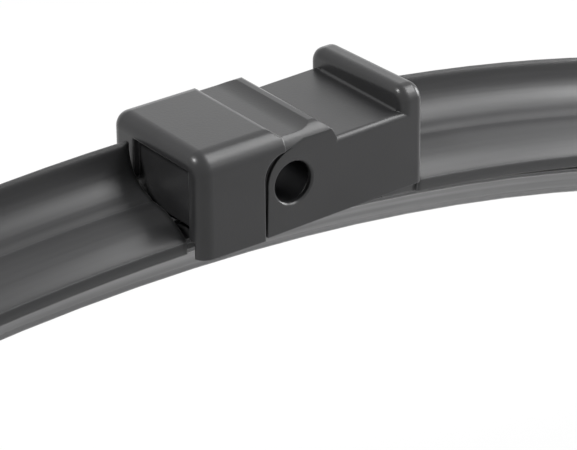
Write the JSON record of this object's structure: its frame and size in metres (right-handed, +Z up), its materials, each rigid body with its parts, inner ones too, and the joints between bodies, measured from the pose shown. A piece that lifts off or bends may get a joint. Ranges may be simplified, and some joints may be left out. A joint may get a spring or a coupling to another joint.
{
  "type": "wiper blade",
  "caption": "Flat wiper blade, arched, with a spoiler, a rubber lip and a tilting adapter that takes a side pin.",
  "frame": {"origin": "centre of the adapter's bore for the arm's pin", "axes": "+X along the blade towards the adapter's end wall, +Y along the pin's axis towards the spoiler's ridge side, +Z up, away from the glass"},
  "size_m": [0.3954, 0.0231, 0.0692],
  "materials": {
    "adapter_plastic": "fine satin moulding",
    "bush_steel": "blackened",
    "coated_steel": "black coated",
    "spring_steel": "black coated",
    "rubber": "matt, graphite coated",
    "spoiler_elastomer": "smooth satin",
    "cap_plastic": "fine satin moulding"
  },
  "bodies": {
    "adapter": {"adapter_housing": "adapter_plastic"},
    "blade": {"pivot_bush": "bush_steel", "bracket": "coated_steel", "rail_near": "spring_steel", "rail_far": "spring_steel", "wiper_rubber": "rubber", "spoiler_left": "spoiler_elastomer", "spoiler_right": "spoiler_elastomer", "end_clip_left": "bush_steel", "end_clip_right": "bush_steel", "end_cap_left": "cap_plastic", "end_cap_right": "cap_plastic"}
  },
  "joints": [
    {"name": "blade_tilt", "type": "hinge", "parent": "adapter", "child": "blade", "pos_m": [0, 0, 0], "axis": [0, 1, 0], "range_deg": [-8, 2]}
  ]
}
